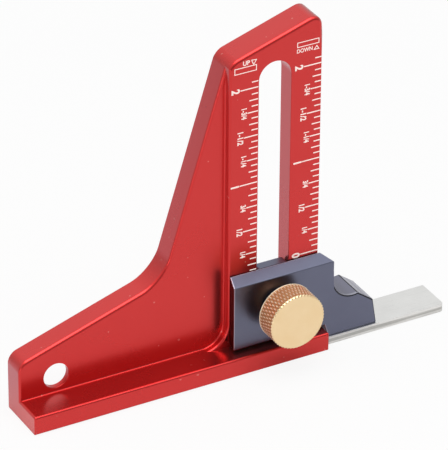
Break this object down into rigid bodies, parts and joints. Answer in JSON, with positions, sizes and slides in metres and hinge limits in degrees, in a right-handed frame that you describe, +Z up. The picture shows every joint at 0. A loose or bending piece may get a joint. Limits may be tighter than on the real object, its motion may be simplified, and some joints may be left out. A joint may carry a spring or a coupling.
{
  "type": "table saw height gauge",
  "caption": "Standing height gauge: slotted column on a ledged base, sliding block with a flat steel bar, knurled clamp knob.",
  "frame": {"origin": "middle of the base's underside, on the table plane", "axes": "+X along the base towards the measuring bar, +Y from the ledge's front edge to the back, +Z up the column"},
  "size_m": [0.1127, 0.0211, 0.0881],
  "materials": {
    "red_anodised": "satin red anodised",
    "dark_anodised": "satin dark grey-blue anodised",
    "ground_steel": "ground, lightly brushed",
    "plain_steel": "zinc plated",
    "black_nylon": "black nylon",
    "turned_brass": "turned face, diamond knurl"
  },
  "bodies": {
    "body": {"body_frame": "red_anodised"},
    "slider": {"slider_block": "dark_anodised", "measuring_bar": "ground_steel", "bar_screw_1": "plain_steel", "bar_screw_2": "plain_steel", "knob_washer": "black_nylon"},
    "knob": {"clamp_knob": "turned_brass", "clamp_stud": "plain_steel"},
    "nut": {"clamp_nut": "plain_steel"}
  },
  "joints": [
    {"name": "slider_travel", "type": "slide", "parent": "body", "child": "slider", "axis": [0, 0, 1], "range_m": [0, 0.0508]},
    {"name": "knob_turn", "type": "hinge", "parent": "slider", "child": "knob", "pos_m": [0.0267, -0.0075, 0.0155], "axis": [0, -1, 0], "range_deg": [0, 360]},
    {"name": "nut_travel", "type": "slide", "parent": "slider", "child": "nut", "axis": [0, 1, 0], "range_m": [0, 0.0008]}
  ],
  "couplings": [
    {"joint": "nut_travel", "follows": "knob_turn", "m_per_rad": 0.00012732}
  ]
}
